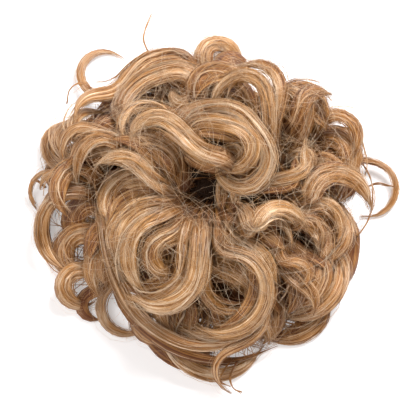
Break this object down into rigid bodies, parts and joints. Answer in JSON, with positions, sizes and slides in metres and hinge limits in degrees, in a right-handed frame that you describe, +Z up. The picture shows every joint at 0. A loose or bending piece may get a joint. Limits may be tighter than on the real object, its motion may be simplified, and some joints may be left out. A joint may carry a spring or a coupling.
{
  "type": "top knot hairpiece",
  "caption": "Curly messy-bun hairpiece: rows of curled locks of hair sewn in rings round an elastic band, which the wearer's own knot goes through.",
  "frame": {"origin": "on the surface that it lies on, under the middle of its outline", "axes": "+Z up, out of the crown of the curls; -Y towards the lower edge of the picture, +X towards its right edge"},
  "size_m": [0.1894, 0.1876, 0.0627],
  "materials": {
    "elastic": "matte",
    "core_hair": "satin",
    "outer_hair": "satin",
    "middle_hair": "satin",
    "crown_hair": "satin"
  },
  "bodies": {
    "root": {"elastic_band": "elastic", "root_wrap": "core_hair", "gathered_core": "core_hair", "outer_curls": "outer_hair", "middle_curls": "middle_hair", "crown_curls": "crown_hair"}
  },
  "joints": []
}
